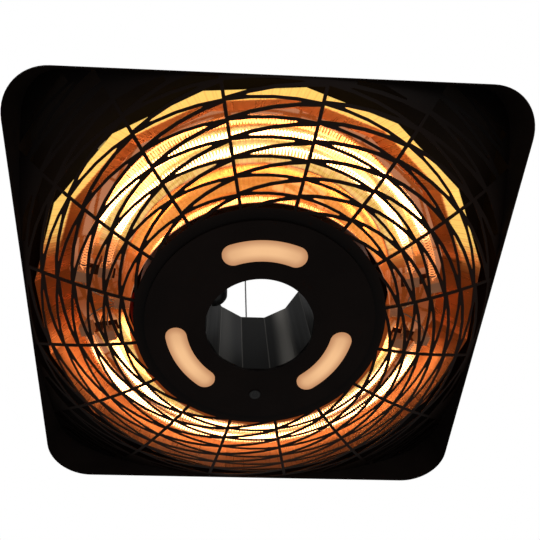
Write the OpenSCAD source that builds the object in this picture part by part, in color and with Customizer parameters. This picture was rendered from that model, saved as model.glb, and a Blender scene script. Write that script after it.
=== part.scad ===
// Hanging electric patio heater with a square hood, quartz elements and a lamp hub.
// Lengths are in millimetres. The origin is the middle of the ceiling plate's upper face.
// Inside hung(), z = 0 is the hood's rim and the hood's axis is x = y = 0.
// Azimuth 0 is the near side (-Y) and +90 is the right side (+X).

/* [Hood] */
// Outer width of the square hood at its rim
hood_w = 500; // [480:5:520]
// Corner radius of the hood at its rim
hood_r = 50; // [44:2:56]
// Height of the leaning side walls
skirt_h = 46; // [45:0.5:50]
// How far a side wall leans in for each mm of height
skirt_lean = 0.21; // [0.16:0.01:0.24]
// Sheet thickness of the cover
cover_t = 1; // [0.8:0.1:1.4]
// Height of the flat top of the cover above the rim
top_z = 75; // [72:1:85]
// Width of the flat top outside the ring of support posts
top_margin = 8; // [7:1:14]
// Distance from a side of the hood to the foot of the cone
cone_margin = 25; // [20:1:30]

/* [Grille] */
// Thickness of the grille sheet
plate_t = 1.2; // [1:0.1:1.5]
// Radius of the arc that the grille is dished to
dish_r = 400; // [380:5:420]
// Distance from the axis to the lowest point of that arc
dish_start_r = 103; // [98:1:108]
// Distance from the flat hub to the foot of the inner reflector
hub_margin = 5.5; // [5:0.5:8]
// Depth of the hub face under the rim
hub_depth = 26.25; // [25:0.25:28]
// Distance between the rings of slots
pitch = 17; // [16.6:0.1:17.4]
// Rings of slots from the hub to the corners
rings = 12; // [9:1:12]
// Number of spokes
spokes = 16; // [12:2:20]
// Width of a spoke
spoke_w = 3.4; // [2.8:0.2:3.8]
// Width of a level bar
bar_w = 2.8; // [2.2:0.1:3]
// Width of a slanting bar along a radius
slant_w = 3.4; // [2.8:0.1:3.6]
// How much nearer the axis the bars meet a spoke on one side than on the other
node_drop = 1.8; // [1.2:0.2:2.4]
// Unslotted margin at the edge of the grille
edge_margin = 1.2; // [1:0.1:2.5]

/* [Lamp hub] */
// Width of the hub's rim round the lamp disc
lamp_margin = 11.5; // [9:0.5:12.5]
// Thickness of the lamp disc
lamp_t = 4; // [3.5:0.5:5]
// How far the lamp disc stands out of the hub's rim
lamp_proud = 3; // [2:0.5:4]
// How far the lamp windows and the power button stand out of the lamp disc
face_proud = 1; // [0.6:0.1:1.5]
// Width of the lamp disc from its open hole to its edge
disc_w = 63.5; // [61:0.5:64]
// Distance from the lamp disc's edge to the middle of the lamp windows
window_margin = 32; // [31:0.5:33]
// Width of a lamp window
window_w = 22.4; // [21:0.2:24]
// Angle between the end centres of a lamp window
window_angle = 41; // [38:1:44]
// Distance from the lamp disc's edge to the middle of the power button
button_margin = 32; // [31:0.5:33]
// Diameter of the power button
button_d = 12; // [10:0.5:14]
// Travel of the power button
button_travel = 1; // [0.6:0.1:1.2]

/* [Elements] */
// Height of the elements above the rim
element_z = 12.5; // [12:0.5:14]
// Outer diameter of a quartz tube
glass_d = 12; // [11.5:0.25:12.5]
// Wall of a quartz tube
glass_t = 1; // [0.8:0.1:1]
// Distance from the outer reflector at the roof to the centreline of the outer elements
element_margin = 17; // [15:0.5:19]
// Difference between the radii of the outer and the inner elements
element_step = 26; // [25:0.5:28]
// Distance of the inner elements' centres from the axis
inner_offset = 10.7; // [9:0.1:12]
// Half of the angle that an element spans
element_half_angle = 78; // [76:0.5:79]
// Turns of one filament
filament_turns = 22; // [16:1:22]
// Thickness of the filament wire
filament_d = 1.4; // [1:0.1:1.6]
// Side of a ceramic end cap
cap_w = 14; // [13:0.5:15]
// Length of a ceramic end cap
cap_l = 12; // [10:0.5:14]

/* [Reflector] */
// Sheet thickness of the reflectors
reflector_t = 0.8; // [0.6:0.1:1]
// Height of the reflector's roof above the rim
roof_z = 42; // [41:0.25:42.5]
// Distance from a side of the hood to the foot of the outer reflector
reflector_margin = 13; // [12:0.5:16]
// How far the outer reflector leans in from its foot to the roof
outer_draft = 26; // [24:1:28]
// Distance from the inner elements' radius to the inner reflector at the roof
inner_margin = 13; // [11:0.5:16]
// How far the inner reflector leans out from its foot to the roof
inner_draft = 17; // [15:0.5:19]
// Thickness of the insulation on the roof
insulation_t = 4; // [3:0.5:4.5]

/* [Through tube] */
// Distance from the edge of the hub's hole to the tube's flat panels at their top
tube_margin = 3.5; // [3.5:0.25:5.5]
// How far a panel of the tube leans in from its foot to its top
tube_draft = 2.5; // [2:0.25:3]
// Number of folded panels of the tube
tube_sides = 12; // [8:2:12]
// Sheet thickness of the tube
tube_t = 1; // [0.8:0.1:1.2]
// Height of the cable gland in the tube's wall above the rim
gland_z = 42; // [40:1:46]
// Diameter of the cable gland's dome
gland_d = 32; // [28:1:32]

/* [Suspension] */
// Height of the hanging disc above the rim
rope_rise = 700; // [500:10:900]
// Distance of the eye bolts from a side of the hood
anchor_margin = 85; // [78:1:90]
// Distance of the ropes from the axis at the hanging disc
rope_head_r = 22; // [21:0.5:24]
// Diameter of a suspension rope
rope_d = 2.5; // [2:0.1:2.6]
// Radius of the wire of the large eyes and of the snap hook
ring_wire_r = 3; // [2.5:0.1:3.2]
// Centreline radius of the large eyes
ring_r = 11; // [10.5:0.5:13]
// Length of the straight sides of the snap hook
hook_side_l = 36; // [36:1:46]
// Centreline radius of the snap hook's bends
hook_bend_r = 14; // [13:0.5:16]
// Radius of the ceiling plate
ceiling_r = 40; // [38:1:50]
// Thickness of the ceiling plate
ceiling_t = 4; // [3:0.5:6]
// Diameter of the circle of the ceiling screws
ceiling_pcd = 60; // [56:1:62]
// Diameter of the ceiling plate's screw holes
ceiling_hole_d = 5.5; // [5:0.5:6]

/* [Inside] */
// Height of the chassis plate's upper face above the rim
chassis_z = 25.5; // [24:0.5:27]
// Sheet thickness of the chassis plate
chassis_t = 1.5; // [1.2:0.1:2]
// Distance from the through tube's panels to the middle of the support posts
post_margin = 18; // [17:0.5:19]
// Diameter of a support post above the chassis plate
post_d = 8; // [7:0.5:9]

/* [Hidden] */
$fn = 64;

paint = [0.03, 0.03, 0.03];
steel = [0.6, 0.6, 0.6];
gold = [0.75, 0.4, 0.15];
ceramic = [0.85, 0.82, 0.75];
glass = [1, 0.75, 0.5];
glow = [1, 0.5, 0.1];
board = [0.1, 0.35, 0.15];

// Clearance between pieces that lie close together
gap = 0.2;
// Clearance between pieces that swing past each other
swing_gap = 0.3;
// Length by which a cut runs past the face that it opens
over = 1;

hub_z = -hub_depth;
lamp_face_z = hub_z - lamp_proud;
lamp_back_z = lamp_face_z + lamp_t;
sheet_half = hood_w / 2 - cover_t;

// Distances from the hood's axis, from its sides inwards
cone_r = hood_w / 2 - cone_margin;
anchor_r = hood_w / 2 - anchor_margin;
outer_foot_r = hood_w / 2 - reflector_margin;
outer_head_r = outer_foot_r - outer_draft;
outer_element_r = outer_head_r - element_margin;
inner_element_r = outer_element_r - element_step;
inner_head_r = inner_element_r - inner_margin;
inner_foot_r = inner_head_r - inner_draft;
hub_r = inner_foot_r - hub_margin;
lamp_r = hub_r - lamp_margin;
window_ring_r = lamp_r - window_margin;
button_ring_r = lamp_r - button_margin;
hole_r = lamp_r - disc_w;
tube_flat_r = hole_r - tube_margin;
tube_foot_r = tube_flat_r + tube_draft;
post_ring_r = tube_flat_r + post_margin;
top_r = post_ring_r + top_margin;

// A point on the circle of radius r, seen from above, at azimuth az
function polar(r, az) = [r * sin(az), -r * cos(az)];

module around(az, r = 0) {
    rotate([0, 0, az]) translate([0, -r, 0]) children();
}

module ring(r_in, r_out, h) {
    difference() {
        cylinder(r = r_out, h = h);
        translate([0, 0, -over]) cylinder(r = r_in, h = h + 2 * over);
    }
}

module torus(r, wire_r) {
    rotate_extrude() translate([r, 0]) circle(wire_r, $fn = 32);
}

// A bent round bar whose centreline runs from azimuth az0 through angle turn
module bent_bar(r, wire_r, az0, turn) {
    rotate([0, 0, az0 - 90]) rotate_extrude(angle = turn) translate([r, 0]) circle(wire_r, $fn = 32);
}

// Square block with rounded corners whose sides lean in by lean for each mm of height
module leaning_block(half, r, h, lean) {
    for (a = [0, 90]) rotate([0, 0, a]) rotate([90, 0, 0])
        linear_extrude(2 * (half - r), center = true)
            polygon([[-half, 0], [half, 0], [half - h * lean, h], [-half + h * lean, h]]);
    for (x = [-1, 1], y = [-1, 1]) translate([x * (half - r), y * (half - r), 0])
        cylinder(r1 = r, r2 = r - h * lean, h = h);
}

// Suspension: heights from the ceiling down

eye_flange_t = 3;
ceiling_eye_z = -ceiling_t - eye_flange_t - ring_r - ring_wire_r + over;
ceiling_eye_low_z = ceiling_eye_z - ring_r;
wire_step = 2 * ring_wire_r + swing_gap;
hook_top_z = ceiling_eye_low_z + wire_step;
hook_upper_z = hook_top_z - hook_bend_r;
hook_lower_z = hook_upper_z - hook_side_l;
hook_low_z = hook_lower_z - hook_bend_r;
heater_eye_high_z = hook_low_z + wire_step;
heater_eye_z = heater_eye_high_z - ring_r;
disc_t = 5;
disc_r = rope_head_r + 7;
disc_top_z = heater_eye_z - ring_r - ring_wire_r + over;
hood_drop = rope_rise + disc_t - disc_top_z;

// From the hood's own frame to the ceiling's
module hung() {
    translate([0, 0, -hood_drop]) children();
}

module ceiling_plate() {
    color(steel) difference() {
        translate([0, 0, -ceiling_t]) cylinder(r = ceiling_r, h = ceiling_t);
        for (az = [45 : 90 : 315]) around(az, ceiling_pcd / 2) translate([0, 0, -ceiling_t - over])
            cylinder(d = ceiling_hole_d, h = ceiling_t + 2 * over);
    }
}

module ceiling_eye() {
    color(steel) {
        translate([0, 0, -ceiling_t - eye_flange_t]) cylinder(r = ring_wire_r + 6, h = eye_flange_t);
        translate([0, 0, ceiling_eye_z]) rotate([0, 90, 0]) torus(ring_r, ring_wire_r);
    }
}

// Snap hook in the XZ plane with its gate on the right side
gate_r = 2.5;
knuckle_r = 3.5;
knuckle_half = 1.5;
cheek_t = 1.8;
pin_r = 1.2;
gate_pivot_z = hook_lower_z + knuckle_r + ring_wire_r - 0.8;
gate_top_z = hook_upper_z - 4.5;
gate_foot_z = gate_pivot_z + knuckle_r + over;
tongue_low_z = gate_pivot_z - knuckle_r - 0.5;

module snap_hook() {
    color("silver") difference() {
        union() {
            for (side = [[hook_upper_z, 90], [hook_lower_z, -90]]) translate([0, 0, side[0]])
                rotate([90, 0, 0]) bent_bar(hook_bend_r, ring_wire_r, side[1], 180);
            translate([-hook_bend_r, 0, hook_lower_z]) cylinder(r = ring_wire_r, h = hook_side_l);
            translate([hook_bend_r, 0, gate_top_z + 2 * gap])
                cylinder(r = ring_wire_r, h = hook_upper_z - gate_top_z - 2 * gap);
            translate([hook_bend_r, 0, hook_lower_z])
                cylinder(r = ring_wire_r, h = tongue_low_z - hook_lower_z);
            translate([hook_bend_r, 0, gate_pivot_z]) rotate([90, 0, 0])
                cylinder(r = knuckle_r, h = 2 * knuckle_half, center = true);
            translate([hook_bend_r - ring_wire_r + gap, -knuckle_half, hook_lower_z])
                cube([2 * (ring_wire_r - gap), 2 * knuckle_half, gate_pivot_z - hook_lower_z]);
        }
        translate([hook_bend_r, 0, gate_pivot_z]) rotate([90, 0, 0])
            cylinder(r = pin_r, h = 4 * ring_wire_r, center = true);
    }
}

module hook_gate() {
    cheek_y = knuckle_half + swing_gap;
    color(steel) translate([hook_bend_r, 0, 0]) difference() {
        union() {
            translate([0, 0, gate_foot_z]) cylinder(r = gate_r, h = gate_top_z - gate_foot_z);
            for (y = [-cheek_y - cheek_t, cheek_y]) {
                translate([0, y + cheek_t, gate_pivot_z]) rotate([90, 0, 0])
                    cylinder(r = knuckle_r, h = cheek_t);
                translate([-gate_r, y, gate_pivot_z])
                    cube([2 * gate_r, cheek_t, gate_foot_z + over - gate_pivot_z]);
            }
            translate([-gate_r, -cheek_y - cheek_t, gate_foot_z])
                cube([2 * gate_r, 2 * (cheek_y + cheek_t), over]);
        }
        translate([0, 0, gate_pivot_z]) rotate([90, 0, 0])
            cylinder(r = pin_r + gap / 4, h = 4 * gate_r, center = true);
        translate([0, 0, gate_foot_z + 2 * over]) cylinder(r = gate_r / 2, h = 12);
    }
}

module gate_pin() {
    color(steel) translate([hook_bend_r, 0, gate_pivot_z]) rotate([90, 0, 0])
        cylinder(r = pin_r, h = 2 * (knuckle_half + swing_gap + cheek_t), center = true);
}

module gate_spring() {
    color(steel) translate([hook_bend_r, 0, gate_foot_z + 2 * over]) cylinder(r = gate_r / 2 - gap, h = 12);
}

// Ropes: from an eye bolt on the cover up to the hanging disc

function cone_z(r) = top_z - (r - top_r) * (top_z - skirt_h) / (cone_r - top_r);

bolt_wire_r = 2;
bolt_ring_r = 7;
bolt_flange_t = 2;
bolt_shank_r = 3;
boss_r = 9;
boss_top_z = cone_z(anchor_r - boss_r) + over;
boss_low_z = cone_z(anchor_r + boss_r) - cover_t - 3;
nut_h = 4.4;
bolt_eye_z = boss_top_z + bolt_flange_t + bolt_ring_r + bolt_wire_r - over;
loop_r = 6;
rope_r = rope_d / 2;
// The loop's lowest wire hangs this far under the middle of the eye bolt's upper wire
loop_hold = bolt_wire_r + rope_r + swing_gap;
rope_foot_z = bolt_eye_z + bolt_ring_r;
rope_tilt = atan2(anchor_r - rope_head_r, rope_rise - rope_foot_z);
rope_l = norm([anchor_r - rope_head_r, rope_rise - rope_foot_z]);
sleeve_r = rope_d;
sleeve_l = 8;
ferrule_l = 14;
rope_end = rope_l + disc_t / cos(rope_tilt) + sleeve_r * tan(rope_tilt) + swing_gap;

// From the rope's own frame, whose z axis runs up the rope from the eye bolt's upper wire
module along_rope(az) {
    around(az, anchor_r) translate([0, 0, rope_foot_z]) rotate([-rope_tilt, 0, 0]) children();
}

module suspension_rope(az) {
    color(steel) hung() along_rope(az) {
        translate([0, 0, loop_r - loop_hold]) rotate([0, 90, 0]) torus(loop_r, rope_r);
        translate([0, 0, 2 * loop_r - loop_hold]) cylinder(r = rope_r, h = rope_end + sleeve_l - 2 * loop_r);
    }
}

module suspension_rope_near() {
    suspension_rope(0);
}

module suspension_rope_right() {
    suspension_rope(90);
}

module suspension_rope_far() {
    suspension_rope(180);
}

module suspension_rope_left() {
    suspension_rope(270);
}

module rope_ferrules() {
    color("silver") hung() for (az = [0 : 90 : 270]) along_rope(az) {
        translate([0, 0, 2 * loop_r + rope_r]) ring(rope_r + gap / 4, sleeve_r, ferrule_l);
        translate([0, 0, rope_end]) ring(rope_r + gap / 4, sleeve_r, sleeve_l - loop_hold);
    }
}

module hanging_ring() {
    color(steel) {
        difference() {
            translate([0, 0, disc_top_z - disc_t]) cylinder(r = disc_r, h = disc_t);
            for (az = [0 : 90 : 270]) translate([0, 0, -hood_drop]) along_rope(az)
                cylinder(r = rope_r + gap, h = rope_l + 4 * disc_t);
        }
        translate([0, 0, heater_eye_z]) rotate([0, 90, 0]) torus(ring_r, ring_wire_r);
    }
}

module eye_bolts() {
    color(steel) hung() for (az = [0 : 90 : 270]) around(az, anchor_r) {
        translate([0, 0, bolt_eye_z]) rotate([90, 0, 0]) torus(bolt_ring_r, bolt_wire_r);
        translate([0, 0, boss_top_z]) cylinder(r = bolt_shank_r + 2, h = bolt_flange_t);
        translate([0, 0, boss_low_z - nut_h])
            cylinder(r = bolt_shank_r, h = boss_top_z + over - boss_low_z + nut_h);
    }
}

module eye_nuts() {
    color(steel) hung() for (az = [0 : 90 : 270]) around(az, anchor_r)
        translate([0, 0, boss_low_z - nut_h]) difference() {
            cylinder(r = bolt_shank_r + 2.5, h = nut_h, $fn = 6);
            translate([0, 0, -over]) cylinder(r = bolt_shank_r + gap / 4, h = nut_h + 2 * over);
        }
}

// Cover and what stands on it

post_azimuths = [-160, -60, 60, 160];
cover_screw_d = 4;
// Distance from the middle of a folded tube to its corners, for panels at distance flat_r
function corner_r(flat_r) = flat_r / cos(180 / tube_sides);
mouth_r = corner_r(tube_flat_r + tube_t) + 2 * gap;
// Height of the through tube and its collar above the cover
tube_proud = 2;

module cover_body(inset, low) {
    shrink = inset + low * skirt_lean;
    translate([0, 0, low])
        leaning_block(hood_w / 2 - shrink, hood_r - shrink, skirt_h - inset - low, skirt_lean);
    translate([0, 0, skirt_h - inset]) cylinder(r1 = cone_r, r2 = top_r, h = top_z - skirt_h);
}

module top_cover() {
    color(paint) hung() difference() {
        union() {
            difference() {
                cover_body(0, 0);
                cover_body(cover_t, -over);
            }
            for (az = [0 : 90 : 270]) around(az, anchor_r)
                translate([0, 0, boss_low_z]) cylinder(r = boss_r, h = boss_top_z - boss_low_z);
        }
        cylinder(r = mouth_r, h = top_z + over);
        for (az = [0 : 90 : 270]) around(az, anchor_r)
            translate([0, 0, boss_low_z - over]) cylinder(r = bolt_shank_r + gap / 2, h = boss_top_z);
        for (az = post_azimuths) around(az, post_ring_r) cylinder(d = cover_screw_d + gap, h = top_z + over);
    }
}

module cover_screws() {
    shank_l = 10;
    color("silver") hung() for (az = post_azimuths) around(az, post_ring_r) {
        translate([0, 0, top_z]) cylinder(d = 2 * cover_screw_d, h = 2.4);
        translate([0, 0, top_z - shank_l]) cylinder(d = cover_screw_d, h = shank_l + over);
    }
}

// Ring on the cover round the end of the through tube
module tube_collar() {
    color(paint) hung() translate([0, 0, top_z]) ring(mouth_r, post_ring_r - cover_screw_d - 2, tube_proud);
}

// Folded sheet tube that runs through the hood, with the cable gland in its left panel

tube_low_z = lamp_back_z;
tube_h = top_z + tube_proud - tube_low_z;
tube_lean = tube_draft / tube_h;
// Distance from the axis to the inside of the tube's panels at height z
function tube_wall_r(z) = tube_foot_r - (z - tube_low_z) * tube_lean;

gland_az = -90;
gland_thread_d = 20;
gland_bore_d = 9;
gland_nut_r = 13;
gland_nut_t = 5;
gland_face_r = tube_wall_r(gland_z + gland_d / 2);

// Solid folded tube with its panels set out by out, lengthened by past at each end
module tube_prism(out, past) {
    translate([0, 0, tube_low_z - past]) rotate([0, 0, 180 / tube_sides])
        cylinder(r1 = corner_r(tube_foot_r + out + past * tube_lean),
            r2 = corner_r(tube_flat_r + out - past * tube_lean), h = tube_h + 2 * past, $fn = tube_sides);
}

// From the hood's frame to the gland's, whose +Z runs from the tube's wall to its axis
module at_gland(r) {
    hung() around(gland_az, r) translate([0, 0, gland_z]) rotate([-90, 0, 0]) children();
}

module through_tube() {
    color([0.12, 0.12, 0.12]) difference() {
        hung() tube_prism(tube_t, 0);
        hung() tube_prism(0, over);
        at_gland(tube_foot_r + 4 * tube_t) cylinder(d = gland_thread_d + gap, h = 8 * tube_t);
    }
}

module cable_gland() {
    neck_l = 5;
    nut_face_r = tube_wall_r(gland_z - gland_nut_r) + tube_t + gap;
    thread_l = nut_face_r + gland_nut_t + 2 - gland_face_r;
    color(paint) at_gland(gland_face_r) difference() {
        union() {
            translate([0, 0, -thread_l]) cylinder(d = gland_thread_d, h = thread_l + over);
            translate([0, 0, gland_face_r - nut_face_r - gland_nut_t])
                cylinder(r = gland_nut_r, h = gland_nut_t, $fn = 6);
            cylinder(d = gland_d - neck_l, h = neck_l + over);
            translate([0, 0, neck_l]) intersection() {
                sphere(d = gland_d);
                translate([0, 0, -2]) cylinder(d = gland_d, h = gland_d);
            }
        }
        translate([0, 0, -thread_l - over]) cylinder(d = gland_bore_d, h = thread_l + 2 * gland_d);
    }
}

// Reflector

dish_z = hub_z + sqrt(dish_r * dish_r - pow(hub_r - dish_start_r, 2));
// Height of the grille's upper face at distance r from the axis
function dish_top_z(r) = dish_z - sqrt(pow(dish_r - plate_t, 2) - pow(r - dish_start_r, 2));
reflector_sides = 16;
reflector_turn = 7;
outer_corner_r = outer_foot_r / cos(180 / reflector_sides);
outer_foot_gap = 4;
outer_foot_z = dish_top_z(outer_corner_r) + outer_foot_gap;
inner_foot_z = dish_top_z(inner_foot_r) + 2 * gap;

module reflector_prism(foot_r, head_r, h) {
    corner_r = foot_r / cos(180 / reflector_sides);
    side_angle = 360 / reflector_sides;
    linear_extrude(h, scale = head_r / foot_r)
        polygon([for (i = [0 : reflector_sides - 1]) polar(corner_r, reflector_turn + i * side_angle)]);
}

module reflector_outer() {
    h = roof_z - outer_foot_z;
    color(gold) hung() translate([0, 0, outer_foot_z]) difference() {
        reflector_prism(outer_foot_r, outer_head_r, h);
        reflector_prism(outer_foot_r - reflector_t, outer_head_r - reflector_t, h);
    }
}

module reflector_roof() {
    color(gold) hung() translate([0, 0, roof_z]) difference() {
        reflector_prism(outer_head_r, outer_head_r, reflector_t);
        translate([0, 0, -over]) cylinder(r = inner_head_r - 2, h = reflector_t + 2 * over);
    }
}

bush_r = 7;
bush_az = [-90, 90];

module reflector_inner() {
    h = roof_z - inner_foot_z;
    color(gold) hung() difference() {
        translate([0, 0, inner_foot_z]) difference() {
            cylinder(r1 = inner_foot_r, r2 = inner_head_r, h = h);
            translate([0, 0, -h]) cylinder(r1 = inner_foot_r - reflector_t - (inner_head_r - inner_foot_r),
                r2 = inner_foot_r - reflector_t, h = h);
            cylinder(r1 = inner_foot_r - reflector_t, r2 = inner_head_r - reflector_t, h = h);
            translate([0, 0, h]) cylinder(r = inner_head_r - reflector_t, h = h);
        }
        for (az = bush_az) around(az) translate([0, 0, element_z]) rotate([90, 0, 0])
            cylinder(r = bush_r + gap / 2, h = inner_head_r + over);
    }
}

bracket_w = 12;
bracket_t = 1.2;

// Straps in the corners from the roof to the cover's flat shoulder
module reflector_brackets() {
    reach = cone_r + 13;
    color(steel) hung() for (az = [45 : 90 : 315]) around(az) {
        translate([-bracket_w / 2, -reach, roof_z + reflector_t])
            cube([bracket_w, reach - outer_head_r + 9, bracket_t]);
        translate([-bracket_w / 2, -reach, roof_z + reflector_t])
            cube([bracket_w, 4, skirt_h - cover_t - roof_z - reflector_t]);
    }
}

module insulation_ring() {
    color([0.8, 0.8, 0.75]) hung() translate([0, 0, roof_z + reflector_t])
        ring(inner_head_r + 2, outer_head_r - 11, insulation_t);
}

// Elements: quartz tubes with wound filaments, two arcs in each half

glass_r = glass_d / 2;
filament_r = filament_d / 2;
// Radius of the filament's winding
coil_r = glass_r - glass_t - filament_r - swing_gap;

near_azimuth = 0;
far_azimuth = 180;
half_azimuths = [near_azimuth, far_azimuth];
// Into the frame of an arc of elements: [radius, offset of its centre, azimuth of its middle]
outer_near = [outer_element_r, 0, near_azimuth];
outer_far = [outer_element_r, 0, far_azimuth];
inner_near = [inner_element_r, inner_offset, near_azimuth];
inner_far = [inner_element_r, inner_offset, far_azimuth];
element_arcs = [outer_near, outer_far, inner_near, inner_far];

module in_arc(arc) {
    around(arc[2], arc[1]) translate([0, 0, element_z]) children();
}

module quartz_tube(arc) {
    color(glass) hung() in_arc(arc) rotate([0, 0, -90 - element_half_angle])
        rotate_extrude(angle = 2 * element_half_angle, $fn = 128) translate([arc[0], 0]) difference() {
            circle(glass_r, $fn = 32);
            circle(glass_r - glass_t, $fn = 32);
        }
}

// Winding: rings of six points along a helix that follows the arc

ring_count = 8 * filament_turns;
wire_sides = 6;

// Middle of the wire at step i, and the middle of the coil there, in the arc's frame
// Angle of the arc that a straight end takes up
lead_angle = 1.4;
coil_half_angle = element_half_angle - lead_angle;
function coil_angle(i) = coil_half_angle * (2 * i / ring_count - 1);
function coil_middle(r, a) = [r * sin(a), -r * cos(a), 0];
function coil_out(i, a) = let(turn = 45 * i) [cos(turn) * sin(a), -cos(turn) * cos(a), sin(turn)];
function wire_point(r, i) = let(a = coil_angle(i)) coil_middle(r, a) + coil_r * coil_out(i, a);
function unit(v) = v / norm(v);
function wire_ring(middle, out, along) = let(u = unit(out - (out * along) * along), v = cross(along, u))
    [for (j = [0 : wire_sides - 1]) middle + filament_r * (cos(60 * j) * u + sin(60 * j) * v)];
// Ring of the straight end that leaves the coil at step i and runs for length l along the arc
function end_ring(r, i, l) = let(a = coil_angle(i), along = [cos(a), sin(a), 0])
    wire_ring(wire_point(r, i) + l * along, coil_out(i, a), along);
function wound_wire(r) = concat(
    end_ring(r, 0, -end_run(r)),
    end_ring(r, 0, 0),
    [for (i = [1 : ring_count - 1]) each wire_ring(wire_point(r, i), coil_out(i, coil_angle(i)),
        unit(wire_point(r, i + 0.5) - wire_point(r, i - 0.5)))],
    end_ring(r, ring_count, 0),
    end_ring(r, ring_count, end_run(r)));
// Length of the straight end, square to the end cap's face at the arc's end
function end_run(r) = r * tan(lead_angle);
// Triangles of a swept tube with closed ends
function tube_faces(count, sides) = concat(
    [for (i = [0 : count - 2], j = [0 : sides - 1]) let(a = i * sides, b = a + sides, k = (j + 1) % sides)
        each [[a + j, a + k, b + j], [a + k, b + k, b + j]]],
    [for (j = [1 : sides - 2]) [0, j + 1, j]],
    [for (j = [1 : sides - 2]) let(e = (count - 1) * sides) [e, e + j, e + j + 1]]);

module filament(arc) {
    color(glow) hung() in_arc(arc) polyhedron(wound_wire(arc[0]), tube_faces(ring_count + 3, wire_sides));
}

// Least gap between two turns of one winding, measured on the wire's middle points
function least_gap(r) = min([for (i = [0 : ring_count - 6]) for (j = [i + 5 : min(i + 12, ring_count)])
    norm(wire_point(r, i) - wire_point(r, j)) - filament_d]);
echo("least gap of a filament to itself", least_gap(inner_element_r), least_gap(outer_element_r));

// Both ends of every arc: the side of the arc is -1 or 1
module at_arc_ends(arcs) {
    for (arc = arcs, side = [-1, 1]) in_arc(arc) around(side * element_half_angle, arc[0])
        mirror([side < 0 ? 1 : 0, 0, 0]) children();
}

module tube_end_caps() {
    color(ceramic) hung() at_arc_ends(element_arcs)
        translate([0, -cap_w / 2, -cap_w / 2]) cube([cap_l, cap_w, cap_w]);
}

module tube_brackets() {
    strap_z = element_z + cap_w / 2;
    strap_l = outer_element_r - inner_element_r + cap_w;
    riser_r = (outer_element_r + inner_element_r) / 2;
    bracket_az = element_half_angle + 0.3;
    color(steel) hung() for (half = half_azimuths, side = [-1, 1]) around(half + side * bracket_az)
        translate([-bracket_w / 2, 0, strap_z]) {
            translate([0, -outer_element_r - cap_w / 2, 0]) cube([bracket_w, strap_l, bracket_t]);
            translate([0, -riser_r, 0]) cube([bracket_w, bracket_t, roof_z - strap_z]);
        }
}

// Leads from the end caps to the bush of their side

lead_r = 0.8;
lead_sides = 8;
lead_steps = 8;
bush_face_r = inner_head_r + 3;

function bezier(p, t) = pow(1 - t, 3) * p[0] + 3 * t * pow(1 - t, 2) * p[1] + 3 * t * t * (1 - t) * p[2]
    + pow(t, 3) * p[3];
function bezier_along(p, t) = unit(pow(1 - t, 2) * (p[1] - p[0]) + 2 * t * (1 - t) * (p[2] - p[1])
    + t * t * (p[3] - p[2]));
// Cap's outer face and the way out of it, in the hood's plan, for the end of the near arc on the right
function cap_out(arc) = let(a = element_half_angle, e = polar(arc[0], a) + [0, -arc[1]])
    [e + cap_l * [cos(a), sin(a)], [cos(a), sin(a)]];
function lead_route(arc, entry) = let(c = cap_out(arc), reach = 10) [
    [c[0][0], c[0][1], 0],
    [c[0][0] + reach * c[1][0], c[0][1] + reach * c[1][1], 0],
    [bush_face_r + reach, entry[0], entry[1]],
    [bush_face_r, entry[0], entry[1]]];
function lead_rings(p) = [for (i = [0 : lead_steps]) let(t = i / lead_steps, along = bezier_along(p, t),
    u = unit(cross([0, 0, 1], along)), v = cross(along, u))
    each [for (j = [0 : lead_sides - 1]) bezier(p, t)
        + lead_r * (cos(360 * j / lead_sides) * u + sin(360 * j / lead_sides) * v)]];

module tube_leads() {
    routes = [lead_route(outer_near, [-2.5, 2.5]), lead_route(inner_near, [-2.5, -2.5])];
    faces = tube_faces(lead_steps + 1, lead_sides);
    color("silver") hung() translate([0, 0, element_z]) for (x = [0, 1], y = [0, 1], route = routes)
        mirror([x, 0, 0]) mirror([0, y, 0]) polyhedron(lead_rings(route), faces);
}

bush_l = 14;

module lead_bushes() {
    color(ceramic) hung() for (az = bush_az) around(az, bush_face_r) translate([0, 0, element_z])
        rotate([-90, 0, 0]) cylinder(r = bush_r, h = bush_l);
}

// Grille

field_half = sheet_half - gap - edge_margin;
// Corner radius of the slotted field
field_r = 75;
sector = 360 / spokes;
first_r = hub_r - 1.65;
first_edge_r = hub_r + 0.4;
// Half of the radial width of a node, where two bars meet a spoke
wedge = 2.1;
// Where a slot narrows to its tip, from 0 at its spoke to 1 at the next
tip_t = 0.76;
edge_points = 4;

// Distance from the axis to the edge of the slotted field at azimuth az
function field_edge(az) = let(a = abs((az % 90 + 90 + 45) % 90 - 45), c = field_half - field_r,
    d = c * sqrt(2), u = 45 - a, side = field_half / cos(a),
    corner = d * cos(u) + sqrt(max(0, field_r * field_r - pow(d * sin(u), 2))))
    (field_half * tan(a) <= c) ? side : min(side, corner);
function left_node(k) = first_r + k * pitch;
function right_node(k) = left_node(k) - node_drop;
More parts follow.
